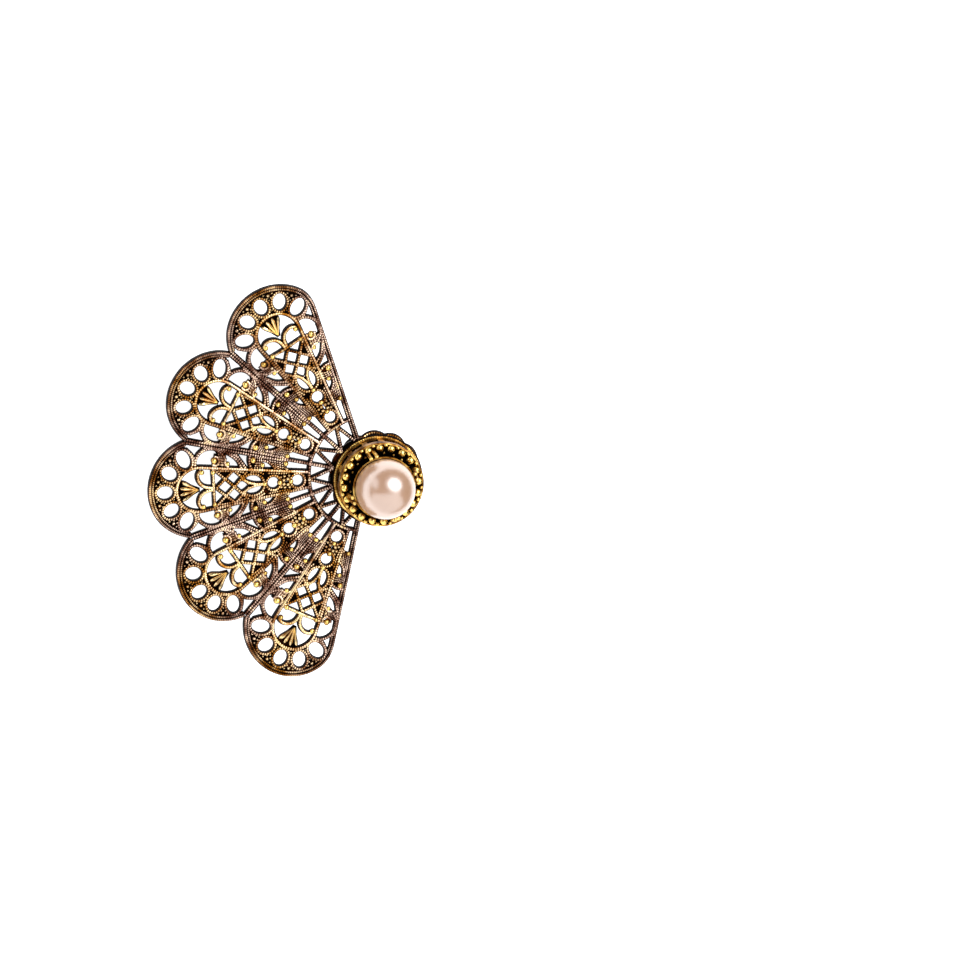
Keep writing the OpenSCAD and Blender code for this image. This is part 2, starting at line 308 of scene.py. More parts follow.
def sweep(heap, path, width, top, closed=False, pitch=0.36, depth=0.15, section=WIRE, taper=None, foot=0.0):
    """A wire along a path, with beads of one pitch pressed into its crown."""
    rings_a_bead = 3
    path, along, length = resampled(path, pitch / rings_a_bead, closed)
    if closed:
        tangent = np.roll(path, -1, axis=0) - np.roll(path, 1, axis=0)
        beads = round(length / pitch) / length
    else:
        tangent = np.gradient(path, axis=0)
        beads = 1 / pitch
    tangent /= np.linalg.norm(tangent, axis=1)[:, None]
    normal = np.column_stack([-tangent[:, 1], tangent[:, 0]])
    swell = np.abs(np.sin(math.pi * along * beads))
    size = np.ones(len(path)) if taper is None else np.interp(along / length, *taper)
    across, rise, share, wear = section.T
    narrow = 1 - BEAD_WAIST * (1 - swell)[:, None] * (share > 0)[None, :] * (depth > 0)
    offset = across[None, :] * (width / 2) * size[:, None] * narrow
    height = foot + rise[None, :] * (top - foot) * (0.5 + 0.5 * size[:, None])
    height -= depth * (1 - swell)[:, None] * share[None, :]
    xy = path[:, None, :] + normal[:, None, :] * offset[:, :, None]
    points = np.concatenate([xy, height[:, :, None]], axis=2).reshape(-1, 3)
    low = DEEP_WEAR if depth > DEEP_BEADS else SHALLOW_WEAR
    worn = wear[None, :] * np.where(share[None, :] > 0, low + (1 - low) * swell[:, None], 1.0)
    n, m = len(path), len(section)
    faces = []
    for i in range(n if closed else n - 1):
        a, b = i * m, ((i + 1) % n) * m
        for k in range(m):
            k2 = (k + 1) % m
            faces.append((a + k, b + k, b + k2, a + k2))
    if not closed:
        faces.append(tuple(range(m)))
        faces.append(tuple(range((n - 1) * m, n * m))[::-1])
    heap.add(points, faces, worn.ravel())


def dome(heap, centre, radius, height, segments=10, rings=4, flat=1.0, below=0.5, shine=1.0):
    """A ball sitting in the surface, with its crown worn bright."""
    points, wear, faces = [], [], []
    for j in range(rings + 1):
        a = math.pi / 2 * (j / rings) * (1 + below) - math.pi / 2 * below
        for k in range(segments):
            b = 2 * math.pi * k / segments
            points.append(
                (
                    centre[0] + radius * math.cos(a) * math.cos(b),
                    centre[1] + radius * math.cos(a) * math.sin(b),
                    height + flat * radius * math.sin(a),
                )
            )
            crown = BALL_CROWN_WEAR * max(0.0, math.sin(a)) ** BALL_WEAR_RISE
            wear.append((BALL_FOOT_WEAR + crown) * shine)
    for j in range(rings):
        lower, upper = j * segments, (j + 1) * segments
        for k in range(segments):
            k2 = (k + 1) % segments
            faces.append((lower + k, lower + k2, upper + k2, upper + k))
    heap.add(points, faces, wear)


def patch(heap, outline, top, wear=GROUND_WEAR):
    """A small plate with the given outline."""
    outline = [tuple(p) for p in outline]
    n = len(outline)
    points = [(u, v, 0.0) for u, v in outline] + [(u, v, top) for u, v in outline]
    cap = tessellate_polygon([[Vector((u, v, 0)) for u, v in outline]])
    faces = [tuple(i + n for i in t) for t in cap] + [tuple(t)[::-1] for t in cap]
    faces += [(i, (i + 1) % n, n + (i + 1) % n, n + i) for i in range(n)]
    heap.add(points, faces, [UNDERSIDE_WEAR] * n + [wear] * n)


class Lace(Heap):
    """One lobe's wires, plates and balls, in its chart. What has v above 0 is made on both sides."""

    def __init__(self, sizes):
        super().__init__()
        self.gilded = Heap()
        self.wide = sizes.wire_width / MM
        self.slim = self.wide * 0.82
        self.pitch = sizes.bead_pitch / MM

    def wire(self, path, width, top=PLATE_TOP, closed=False, twin=True, pitch=None, **more):
        """A corded wire, and its twin across the axis, which always has the lace's own bead pitch."""
        sweep(self, path, width, top, closed, pitch or self.pitch, **more)
        if twin:
            sweep(self, mirrored(path), width, top, closed, self.pitch, **more)

    def strip(self, path, width):
        """A flat strip of ground."""
        self.wire(path, width, GROUND_TOP, twin=False, pitch=0.8, depth=0, section=STRIP)

    def balls(self, rows, height=GROUND_TOP + 0.15):
        """Balls at chart points, each with its radius."""
        for u, v, radius in rows:
            heap, segments, rings = (self.gilded, 12, 5) if radius >= LARGE_BALL else (self, 8, 3)
            for side in (1, -1) if v else (1,):
                dome(heap, (u, side * v), radius, height, segments, rings)

    def plate(self, outline, top=GROUND_TOP - 0.05):
        """A piece of ground, and its twin where it doesn't cross the axis."""
        patch(self, outline, top)
        if all(v >= 0 for u, v in outline):
            patch(self, [(u, -v) for u, v in outline][::-1], top)

    def grains(self, rows, radius, height=GROUND_TOP - 0.06):
        """Grains of one size at chart points."""
        for u, v in rows:
            for side in (1, -1) if v else (1,):
                dome(self, (u, side * v), radius, height, 7, 2, below=0.0)

    def hatch(self, first, last, count, width=0.36, top=0.86):
        """Milled lines side by side, from one line to another."""
        first, last = np.asarray(first, float), np.asarray(last, float)
        for share in np.linspace(0, 1, count):
            self.wire(first * (1 - share) + last * share, width, top, pitch=0.3, depth=0.12)


def polar(radius, angle, centre=(END_DISTANCE, 0)):
    """The chart point at a distance and direction, in degrees, from the middle of the lobe's end."""
    a = math.radians(angle)
    return centre[0] + radius * math.cos(a), centre[1] + radius * math.sin(a)


def bend(start, corner, end, steps=8):
    """A rounded corner."""
    t = np.linspace(0, 1, steps)[:, None]
    return (1 - t) ** 2 * np.array(start) + 2 * t * (1 - t) * np.array(corner) + t**2 * np.array(end)


def straight_edge(inward):
    """Where the fan's straight side runs in an end lobe's chart, and where it meets the rim."""
    slope = math.radians(EDGE_SLOPE)
    along = np.array([math.cos(slope), math.sin(slope)])
    foot = np.array(EDGE_FOOT) + inward * np.array([math.sin(slope), -math.cos(slope)])
    to_end = np.array([END_DISTANCE, 0]) - foot
    across = to_end @ [-math.sin(slope), math.cos(slope)]
    reach = math.sqrt((END_RADIUS - inward) ** 2 - across**2)
    return foot, along, to_end @ along + reach


def beside_edge(side, inward, *reaches):
    """Chart points at distances from the hub, a little inward of the line that parts two lobes."""
    edge = math.radians(LOBE_HALF)
    along, across = math.cos(edge), math.sin(edge)
    return [(r * along + inward * across, side * (r * across - inward * along)) for r in reaches]


def lobe_rim(lace, straight_side):
    """Two corded lines round the lobe's end and down its sides, with the ground between them."""
    for inward, width, height, round_from in ((0.25, 0.54, PLATE_TOP, 62), (0.72, 0.44, 0.84, 60)):
        first = round_from if straight_side else RIM_REACH
        path = arc((END_DISTANCE, 0), END_RADIUS - inward, first, -RIM_REACH, steps=90)
        if straight_side:
            foot, along, reach = straight_edge(inward)
            corner, after = foot + along * reach, foot + along * (reach - 2.0)
            path = np.vstack([foot + along * 5.5, bend(after, corner, path[0]), path[1:]])
            if straight_side < 0:
                path = mirrored(path)
        lace.wire(path, width, height, twin=False, pitch=0.32)
    lace.strip(arc((END_DISTANCE, 0), END_RADIUS - 0.75, -GROUND_REACH, GROUND_REACH, steps=60), 1.1)
    for side in (1, -1):
        if side == straight_side:
            continue
        path = beside_edge(side, 0.24, 31.1, 15.5) + beside_edge(side, 0.05, 13.2, 4.9)
        lace.wire(path, lace.slim * 0.95, twin=False)
        lace.strip(beside_edge(side, 0.3, 31.1, 14.5), 0.62)


def lobe_eyelets(lace):
    """Five eyelets round the lobe's end, with grains on the dark ground between them."""
    orbit, step = 5.68, 33.5
    for k in range(-2, 3):
        stretch = 1.32 if abs(k) == 2 else 1.18
        eyelet = arc(polar(orbit, step * k), 1.4, 0, 354, stretch, step * k, 40)
        lace.wire(eyelet, lace.slim * 0.95, 0.98, closed=True, twin=False)
    spandrel = ((4.9, 0), (6.4, -7), (7.6, -11), (7.6, 11), (6.4, 7))
    for turn in (step / 2, step * 1.5):
        lace.plate([polar(reach, turn + aside) for reach, aside in spandrel])
        beads = ((7.05, 0, 0.32), (6.6, -3, 0.2), (6.6, 3.5, 0.2))
        lace.balls([(*polar(reach, turn + aside), size) for reach, aside, size in beads], GROUND_TOP + 0.1)
        lace.grains([polar(7.25, turn - 6), polar(7.25, turn + 6), polar(6.2, turn)], 0.2)
        lace.plate([polar(3.9, turn - 8), polar(5.0, turn), polar(3.9, turn + 8)])
        lace.grains([polar(4.45, turn)], 0.2)


# The long loop's wires: how far out they start, and how they part from the lobe's axis
LOOP_FOOT = 9.8
LOOP_SPREAD = 0.131


def loop_side(u):
    """How far the loop's wire lies from the lobe's axis."""
    return 1.32 + LOOP_SPREAD * (u - 10)


def lobe_palmette(lace):
    """The long loop, and in its end a palmette of four rays on its own ground."""
    radius = loop_side(END_DISTANCE)
    lean = math.degrees(math.asin(LOOP_SPREAD))
    end = arc((END_DISTANCE, 0), radius + 0.03, 90 + lean, -90 - lean)
    half = len(end) // 2
    start, finish = (LOOP_FOOT, loop_side(LOOP_FOOT)), (LOOP_FOOT, -loop_side(LOOP_FOOT))
    lace.wire(np.vstack([start, end[: half + 1]]), lace.wide, twin=False)
    lace.wire(np.vstack([end[half:], finish]), lace.wide * 0.92, 1.04, twin=False, depth=0.08)
    ground = [(28.2, 0.3), *[polar(3.6, a) for a in range(30, -31, -6)], (28.2, -0.3)]
    lace.plate(ground, 0.45)
    for turn in (-30, -10, 10, 30):
        root, tip = polar(0.1, turn), polar(3.35, turn)
        shape = ([0, 0.75, 0.93, 1], [0.3, 1, 0.8, 0.3])
        sweep(lace, [root, tip], 0.72, 1.12, pitch=0.5, depth=0, section=RAY, taper=shape)


def lobe_scrolls(lace):
    """Scrolls under the palmette, and the beaded bar that they spring from."""
    scroll = curve([(26.1, 0.15), (27.3, 0.4), (28.1, 1.0), (28.5, 1.9), (28.4, 2.7), (27.95, 3.2)])
    lace.wire(scroll, lace.wide * 0.95, 1.08, depth=0.06)
    lace.balls([(27.8, 2.95, 0.46)], 0.85)
    lace.wire([(25.9, -3.3), (25.9, 3.3)], lace.slim, 1.02, twin=False, depth=0.08)
    lace.balls([(25.9, 2.75, 0.44), (25.9, 0.85, 0.36)], 0.8)


def lobe_lattice(lace):
    """Crossed wires down the loop, and the tulip that they end in."""
    for start, end in (
        ((19.9, 0.25), (22.3, 2.75)),
        ((22.4, 0.0), (25.6, 3.1)),
        ((25.5, 0.0), (22.3, 2.85)),
        ((22.4, 0.0), (20.2, 2.3)),
    ):
        lace.wire([start, end], lace.slim, 0.98)
    lace.plate([(20.0, 2.0), (21.0, 1.6), (22.2, 2.8), (20.0, 2.6)])
    lace.plate([(23.3, 2.4), (23.85, 1.9), (24.4, 2.4), (25.2, 3.2), (22.6, 3.0)])
    lace.wire([(22.7, 2.65), (25.0, 2.9)], lace.slim * 0.8, 0.9)
    lace.wire([(20.2, 2.15), (22.0, 2.55)], lace.slim * 0.8, 0.9)
    petal = curve([(17.3, 0.1), (17.7, 1.1), (18.6, 1.72), (19.8, 1.8), (20.7, 1.35), (21.3, 0.9)])
    lace.wire(petal, lace.slim)
    lace.wire(curve([(17.6, 0.05), (18.8, 0.12), (20.0, 0.5), (20.9, 1.05)]), lace.slim, 1.0, depth=0.06)
    lace.plate([(16.9, 0), (17.8, 0.1), (17.9, 1.2), (18.7, 1.9), (19.4, 2.5), (16.9, 2.2)])
    lace.wire(curve([(17.3, 1.6), (18.3, 2.1), (19.6, 2.2)]), lace.slim * 0.8, 0.9)
    lace.balls([(17.3, 0, 0.42)], 0.85)


def lobe_rings(lace):
    """Two holes on the lobe's axis, ringed with wire, in a ground that fills the loop."""
    holes = (11.7, 15.8)
    round_holes = [point for u in holes[::-1] for point in arc((u, 0), 1.1, 4, 176, steps=14)]
    lace.plate([(9.9, 0.02), (9.9, 1.3), (17.3, 2.25), (17.3, 0.02), *round_holes])
    for u in holes:
        lace.wire(arc((u, 0), 1.24, 0, 354, steps=32), lace.slim * 0.95, closed=True, twin=False)
    lace.balls([(14.75, 0, 0.5), (12.85, 0, 0.42), (13.35, 0.48, 0.36), (14.05, 0.35, 0.36)], 0.74)
    lace.balls([(13.1, 1.0, 0.28), (13.9, 0.95, 0.3), (14.5, 0.85, 0.28)], 0.66)
    lace.wire(curve([(12.9, 1.5), (14.2, 1.45), (16.8, 1.75)]), lace.slim * 0.7, 0.86)


def lobe_sides(lace):
    """Crescents, leaves and milled grounds between the loop and the lobe's edge."""
    lace.wire(arc((26.2, 3.95), 2.65, 2, 158), lace.slim)
    lace.wire(curve([(28.8, 4.0), (28.75, 5.0), (29.2, 5.9), (30.1, 6.9)]), lace.slim)
    lace.wire(curve([(28.75, 4.9), (28.2, 5.8), (27.2, 6.6)]), lace.slim, 0.96)
    lace.plate([(28.5, 4.4), (29.1, 4.4), (29.1, 5.6), (28.7, 5.4), (28.2, 5.6)])
    hook = curve([(25.95, 4.0), (25.2, 3.85), (24.75, 4.35), (24.9, 5.1), (25.5, 5.35)])
    lace.wire(hook, lace.slim, 1.02, depth=0.06)
    lace.balls([(25.55, 4.7, 0.58), (24.25, 3.9, 0.3)])
    lace.plate([(23.6, 3.4), (25.2, 3.6), (24.7, 4.4), (25.0, 5.6), (25.5, 6.5), (23.4, 5.9), (23.4, 5.0)])
    lace.hatch([(23.75, 3.5), (23.9, 4.6), (23.3, 5.7)], [(24.6, 3.7), (24.5, 4.7), (24.8, 6.2)], 4)
    lace.wire(curve([(21.0, 2.9), (21.4, 3.9), (22.0, 4.7), (23.2, 5.6)]), lace.slim)
    lace.wire(curve([(20.3, 2.9), (20.9, 3.9), (21.9, 5.5)]), lace.slim)
    lace.plate([(20.3, 2.8), (21.0, 2.9), (21.9, 4.6), (23.6, 5.8), (21.7, 5.5)])
    lace.wire(curve([(21.6, 4.9), (22.8, 5.6), (25.0, 6.4), (27.2, 6.9)]), lace.slim * 0.9, 0.94)
    lace.wire(curve([(23.2, 3.3), (23.75, 4.0), (23.6, 4.8)]), lace.slim, 1.0, depth=0.06)
    lace.wire(curve([(19.35, 2.6), (19.65, 3.8), (19.45, 5.0)]), lace.slim)
    lace.balls([(23.3, 3.95, 0.4), (19.0, 4.1, 0.54)])
    lace.plate([(17.3, 2.3), (19.5, 2.6), (19.7, 3.8), (19.5, 5.0), (17.4, 4.45)])
    lace.hatch([(17.5, 2.4), (17.6, 3.3), (17.5, 4.4)], [(18.9, 2.6), (18.5, 3.4), (18.6, 4.7)], 4)
    lace.balls([(17.45, 3.2, 0.42)], 0.85)
    lace.plate([(13.35, 1.75), (15.4, 2.0), (15.6, 2.7), (16.0, 3.6), (17.2, 3.9), (17.4, 4.6), (13.3, 3.5)])
    lace.hatch([(13.5, 1.85), (14.6, 2.2), (15.4, 2.6)], [(13.5, 3.35), (15.0, 3.75), (17.2, 4.3)], 5)
    lace.wire(curve([(15.2, 1.9), (15.6, 2.7), (16.3, 3.5), (17.3, 3.9)]), lace.slim)
    lace.balls([(13.5, 3.05, 0.44), (13.4, 2.1, 0.3)], 0.82)


def lobe_hub(lace):
    """The corded ring round the crown and the zigzag inside it."""
    lace.wire(arc((0, 0), 9.75, -LOBE_HALF, LOBE_HALF, steps=24), lace.wide * 0.9, twin=False)
    lace.wire([(9.5, 0.1), (5.0, 1.65)], lace.slim)
    lace.plate([(6.3, 0.0), (6.1, 1.2), (6.0, 1.6), (4.9, 1.3), (4.9, 0.0)])
    lace.balls([(9.7, 0, 0.38)], 0.8)


def lobe_lace(sizes, straight_side):
    """All of one lobe. The straight side, 1 or -1, is where an end lobe has the fan's edge."""
    lace = Lace(sizes)
    lobe_rim(lace, straight_side)
    for part in (lobe_eyelets, lobe_palmette, lobe_scrolls, lobe_lattice, lobe_rings, lobe_sides, lobe_hub):
        part(lace)
    return lace


def rod(heap, start, end, radius, sides=10, wear=0.8):
    """A round rod with a ball at its far end."""
    start, end = Vector(start), Vector(end)
    turn = (end - start).to_track_quat("Z", "Y")
    points, faces = [], []
    for j, (place, size) in enumerate(((start, 1.0), (end, 0.85))):
        for k in range(sides):
            a = 2 * math.pi * k / sides
            points.append(place + turn @ (radius * size * Vector((math.cos(a), math.sin(a), 0))))
    for k in range(sides):
        faces.append((k, (k + 1) % sides, sides + (k + 1) % sides, sides + k))
    heap.add([tuple(point) for point in points], faces, wear)
    dome(heap, tuple(end)[:2], radius * 1.12, end[2], sides, 8, below=0.9)


def crown_trim():
    """Balls and beads inside the crown's rim, a wire round its rim and foot, and its claws."""
    heap = Heap()
    step = 360 / CROWN_BALLS
    # Each row's orbit, height, ball radius, turn in steps, segments, rings and shine
    rows = (
        (6.24, 3.9, 0.72, 0.0, 14, 8, 1.1),
        (6.74, 4.03, 0.37, 0.5, 10, 6, 1.0),
        # The inner row lies in the crown's dish, and its lower shine dims it there as painted shade
        (5.25, 3.27, 0.27, 0.5, 10, 5, 0.75),
    )
    for k in range(CROWN_BALLS):
        for orbit, height, radius, turn, segments, rings, shine in rows:
            centre = polar(orbit, (k + turn) * step, (0, 0))
            dome(heap, centre, radius, height, segments, rings, below=0.6, shine=shine)
    circle = arc((0, 0), RIM_RADIUS - 0.1, 0, 356, steps=90)
    sweep(heap, circle, 0.16, CROWN_HEIGHT + 0.1, True, 0.9, 0.12, foot=CROWN_HEIGHT - 0.1)
    foot = arc((0, 0), FOOT_RADIUS + 0.3, 0, 356, steps=90)
    sweep(heap, foot, 0.72, 0.34, True, 0.4, 0.03)
    top = CROWN_HEIGHT + PEARL_RISE - CLAW_BELOW_PEARL
    orbit, seat = CLAW_FOOT
    for turn in range(FIRST_CLAWS, 360, 90):
        for angle in (turn - CLAW_SPREAD, turn + CLAW_SPREAD):
            start, end = (*polar(orbit, angle, (0, 0)), seat), (*polar(CLAW_ORBIT, angle, (0, 0)), top)
            rod(heap, start, end, CLAW_RADIUS)
    return heap


def rosette_lace():
    """The rosette behind the crown: a plate and a milled border of shallow scallops, joined by webs."""
    heap = Heap()
    foot, top = ROSETTE_SPAN
    patch(heap, arc((0, 0), ROSETTE_PLATE, 0, 355, steps=72), top - foot - 0.05, 0.2)
    heap.points[-1] += [0, 0, foot]
    orbit, inner, half = ROSETTE_RADIUS - SCALLOP_RADIUS, SCALLOP_RADIUS - 0.31, math.pi / SCALLOPS
    meet = orbit * math.cos(half) + math.sqrt(inner**2 - (orbit * math.sin(half)) ** 2)
    reach = math.degrees(math.atan2(meet * math.sin(half), meet * math.cos(half) - orbit))
    border = []
    for k in range(SCALLOPS):
        turn = k * 360 / SCALLOPS
        scallop = arc(polar(orbit, turn, (0, 0)), inner, turn - reach, turn + reach, steps=14)
        border.extend(scallop[:-1])
        turn += 180 / SCALLOPS
        web = [polar(ROSETTE_PLATE - 0.1, turn, (0, 0)), polar(meet, turn, (0, 0))]
        sweep(heap, web, 0.9, top - 0.06, foot=foot)
    sweep(heap, np.array(border), 0.6, top, True, 0.42, 0.2, foot=foot)
    return heap


# Materials

# The numbers of a mix node's two colour inputs and of its colour output
MIX_FIRST = 6
MIX_SECOND = 7
MIX_RESULT = 2


def add_node(tree, kind, inputs=None, stops=(), **settings):
    """A node with its settings and, for a ramp, its stops (position, colour). An input, given by its
    name or number, is a value or the socket that is linked to it."""
    node = tree.nodes.new(kind)
    for key, value in settings.items():
        setattr(node, key, value)
    for key, value in (inputs or {}).items():
        if isinstance(value, bpy.types.NodeSocket):
            tree.links.new(value, node.inputs[key])
        else:
            node.inputs[key].default_value = value
    if stops:
        elements = node.color_ramp.elements
        while len(elements) < len(stops):
            elements.new(0.5)
        for element, (position, colour) in zip(elements, stops):
            element.position = position
            element.color = (*colour, 1)
    return node


def grain_scale(size):
    """The noise scale whose spots are about a size in millimetres, in object space."""
    return 1 / (size * MM)


def new_material(name):
    """An empty material and its tree, ending in one shader."""
    material = bpy.data.materials.new(name)
    material.use_nodes = True
    tree = material.node_tree
    tree.nodes.clear()
    shader = add_node(tree, "ShaderNodeBsdfPrincipled")
    add_node(tree, "ShaderNodeOutputMaterial", {"Surface": shader.outputs["BSDF"]})
    return material, tree, shader


def patina_share(tree, place, most):
    """How purple-brown the patina is: in the valleys, and in clouds some millimetres across."""
    clouds = {"Vector": place, "Scale": grain_scale(4.8), "Detail": 3.0}
    film = add_node(tree, "ShaderNodeTexNoise", clouds).outputs["Fac"]
    valley = add_node(tree, "ShaderNodeAttribute", attribute_name="cast").outputs["Fac"]
    both = add_node(tree, "ShaderNodeMath", {0: valley, 1: film}, operation="ADD").outputs[0]
    span = {"Value": both, "From Min": 0.48, "From Max": 0.98, "To Max": most}
    return add_node(tree, "ShaderNodeMapRange", span).outputs["Result"]


def antique_brass(name, settings, wear_source, gilt=False):
    """Stamped brass, blackened with a chemical patina and then rubbed back, so that raised lines are
    bright yellow-gold and every hollow stays brown or nearly black. A gilt flash turns it more orange
    and keeps the purple-brown film off. wear_source makes the wear socket."""
    material, tree, shader = new_material(name)
    place = add_node(tree, "ShaderNodeTexCoord").outputs["Object"]

    # Patches where the rubbing went deeper or less deep, and pits, which are finer on real brass and
    # are drawn this coarse so that they show
    patches = {"Vector": place, "Scale": grain_scale(2.4), "Detail": 3.0, "Roughness": 0.6}
    blotch = add_node(tree, "ShaderNodeTexNoise", patches).outputs["Fac"]
    specks = {"Vector": place, "Scale": grain_scale(0.38), "Detail": 2.0}
    pits = add_node(tree, "ShaderNodeTexNoise", specks).outputs["Fac"]
    uneven = add_node(tree, "ShaderNodeMath", {0: blotch, 1: 1.5, 2: -0.92}, operation="MULTIPLY_ADD")
    rough = add_node(tree, "ShaderNodeMath", {0: pits, 1: 0.3, 2: -0.15}, operation="MULTIPLY_ADD")
    parts = {0: wear_source(tree, place), 1: uneven.outputs[0]}
    wear = add_node(tree, "ShaderNodeMath", parts, operation="ADD").outputs[0]
    parts = {0: wear, 1: rough.outputs[0]}
    wear = add_node(tree, "ShaderNodeMath", parts, operation="ADD", use_clamp=True).outputs[0]

    body, worn = (settings.gilt_body, settings.gilt_worn) if gilt else (settings.body, settings.worn)
    low = [(0.08, settings.recess), (0.32, settings.shade)]
    high = [(0.58, body), (0.84, worn)]
    filmed = [(0.58, settings.rosy_body), (0.86, settings.rosy_worn), (0.97, worn)]
    yellow = add_node(tree, "ShaderNodeValToRGB", {"Fac": wear}, low + high)
    rosy = add_node(tree, "ShaderNodeValToRGB", {"Fac": wear}, low + filmed)
    share = patina_share(tree, place, 0.0 if gilt else 1.0)
    mixed = {"Factor": share, MIX_FIRST: yellow.outputs["Color"], MIX_SECOND: rosy.outputs["Color"]}
    colour = add_node(tree, "ShaderNodeMix", mixed, data_type="RGBA")
    span = {"Value": wear, "From Min": 0.1, "From Max": 0.9, "To Min": 0.6, "To Max": 0.22}
    gloss = add_node(tree, "ShaderNodeMapRange", span)
    bump = add_node(tree, "ShaderNodeBump", {"Height": pits, "Strength": 0.25, "Distance": 0.04 * MM})
    tree.links.new(colour.outputs[MIX_RESULT], shader.inputs["Base Color"])
    tree.links.new(gloss.outputs["Result"], shader.inputs["Roughness"])
    tree.links.new(bump.outputs["Normal"], shader.inputs["Normal"])
    shader.inputs["Metallic"].default_value = 1.0
    return material


def painted_wear(tree, place):
    """Wear kept with each point of a made piece."""
    return add_node(tree, "ShaderNodeAttribute", attribute_name="wear").outputs["Fac"]


def crown_place(tree, place):
    """Distance from the crown's axis and height over its foot, in millimetres."""
    start = Vector((REST_SHIFT, 0, REST_LIFT)) * MM
    turn = {"Vector": place, "Center": start, "Angle": REST_PITCH}
    turned = add_node(tree, "ShaderNodeVectorRotate", turn, rotation_type="Y_AXIS")
    parts = add_node(tree, "ShaderNodeSeparateXYZ", {"Vector": turned.outputs["Vector"]})

    def axis(name, start):
        """One coordinate in millimetres, from where it starts."""
        inputs = {0: parts.outputs[name], 1: 1 / MM, 2: -start}
        return add_node(tree, "ShaderNodeMath", inputs, operation="MULTIPLY_ADD").outputs[0]

    across = {"X": axis("X", REST_SHIFT + CROWN[0]), "Y": axis("Y", CROWN[1])}
    flat = add_node(tree, "ShaderNodeCombineXYZ", across).outputs[0]
    radius = add_node(tree, "ShaderNodeVectorMath", {0: flat}, operation="LENGTH").outputs["Value"]
    return radius, axis("Z", REST_LIFT + CROWN_BASE)


def crown_wear_and_painted_shade(tree, place):
    """Wear and painted shade: bright on the crown's wall, rim and claws, and painted black as shade in its
    dish and behind its windows.
    """
    radius, height = crown_place(tree, place)
    # Inside the wall's radius the wear drops below nothing, so the dish and the inside behind the windows
    # are painted black as shade
    wall = {"Value": radius, "From Min": 6.72, "From Max": 6.86, "To Min": -0.3, "To Max": 0.7}
    claws = {"Value": height, "From Min": 4.2, "From Max": 4.7, "To Min": 0.0, "To Max": 1.0}
    shares = [add_node(tree, "ShaderNodeMapRange", span).outputs[0] for span in (wall, claws)]
    return add_node(tree, "ShaderNodeMath", dict(enumerate(shares)), operation="ADD").outputs[0]


def even_wear(share):
    """The same wear all over."""

    def source(tree, place):
        return add_node(tree, "ShaderNodeMath", {0: share, 1: 0.0}, operation="ADD").outputs[0]

    return source


def pearl_coat(settings):
    """A moulded bead dipped in pearl essence and clear lacquer: a soft pinkish ground under a glossy
    coat, with faint clouds where the essence has run. The essence's grain is finer on a real bead, and
    is drawn this coarse so that it shows."""
    material, tree, shader = new_material("simulated_pearl")
    place = add_node(tree, "ShaderNodeTexCoord").outputs["Object"]
    clouds = {"Vector": place, "Scale": grain_scale(5.5), "Detail": 3.0, "Distortion": 0.6}
    cloud = add_node(tree, "ShaderNodeTexNoise", clouds).outputs["Fac"]
    stops = [(0.3, settings.pearl_shade), (0.7, settings.pearl)]
    colour = add_node(tree, "ShaderNodeValToRGB", {"Fac": cloud}, stops)
    grains = {"Vector": place, "Scale": grain_scale(0.65), "Detail": 2.0}
    grain = add_node(tree, "ShaderNodeTexNoise", grains).outputs["Fac"]
    bump = add_node(tree, "ShaderNodeBump", {"Height": grain, "Strength": 0.08, "Distance": 0.03 * MM})
    tree.links.new(colour.outputs["Color"], shader.inputs["Base Color"])
    tree.links.new(bump.outputs["Normal"], shader.inputs["Normal"])
    coat = {"Roughness": 0.29, "IOR": 2.9, "Coat Weight": 0.3, "Coat Roughness": 0.15}
    for key, value in coat.items():
        shader.inputs[key].default_value = value
    return material


def floor_paper(settings):
    """Matt white sheet with a faint mottle, lit a little from behind, which keeps shadows pale. Its
    fibres are finer on real paper, and are drawn this coarse so that they show."""
    material, tree, shader = new_material("seamless_paper")
    place = add_node(tree, "ShaderNodeTexCoord").outputs["Object"]
    fibres = {"Vector": place, "Scale": grain_scale(1.1), "Detail": 4.0}
    fibre = add_node(tree, "ShaderNodeTexNoise", fibres).outputs["Fac"]
    pale = tuple(c * 0.97 for c in settings.floor)
    colour = add_node(tree, "ShaderNodeValToRGB", {"Fac": fibre}, [(0.3, pale), (0.7, settings.floor)])
    tree.links.new(colour.outputs["Color"], shader.inputs["Base Color"])
    shader.inputs["Roughness"].default_value = 0.9
    shader.inputs["Emission Color"].default_value = (*rgb("#ffffff"), 1)
    shader.inputs["Emission Strength"].default_value = 0.88
    return material


# Settings and operators


def length_property(name, description, default, low, high):
    """A length in metres that a user may change."""
    return bpy.props.FloatProperty(
        name=name,
        description=description,
        default=default,
        min=low,
        max=high,
        unit="LENGTH",
        precision=5,
    )


def colour_property(name, description, code):
    """A colour that a user may change."""
    return bpy.props.FloatVectorProperty(
        name=name, description=description, default=rgb(code), min=0, max=1, size=3, subtype="COLOR"
    )


class EarringSizes(bpy.types.PropertyGroup):
    """Sizes of the wires and beads."""

    wire_width: length_property("Wire width", "Width of the widest corded wire", 0.0007, 0.0004, 0.0008)
    bead_pitch: length_property("Bead pitch", "Length of a corded wire's bead", 0.00042, 0.0003, 0.0006)


class EarringColours(bpy.types.PropertyGroup):
    """Colours of the finishes."""

    recess: colour_property("Recess", "Patina in the deepest hollows", "#0b0503")
    shade: colour_property("Shade", "Patina on low ground", "#451a06")
    body: colour_property("Body", "Half-worn brass", "#a9691c")
    worn: colour_property("Worn", "Brass rubbed bright", "#f8d99c")
    gilt_body: colour_property("Gilt body", "Half-worn brass under a gilt flash", "#a5702c")
    gilt_worn: colour_property("Gilt worn", "Gilt flash rubbed bright", "#fcd67a")
    rosy_body: colour_property("Rosy body", "Half-worn brass under purple-brown patina", "#7f5a49")
    rosy_worn: colour_property("Rosy worn", "Bright brass under purple-brown patina", "#efcdb4")
    pearl: colour_property("Pearl", "Ground of the pearl", "#b98d6c")
    pearl_shade: colour_property("Pearl shade", "Clouds in the pearl", "#ab7d5c")
    floor: colour_property("Floor", "Paper under the earring", "#fbfaf9")


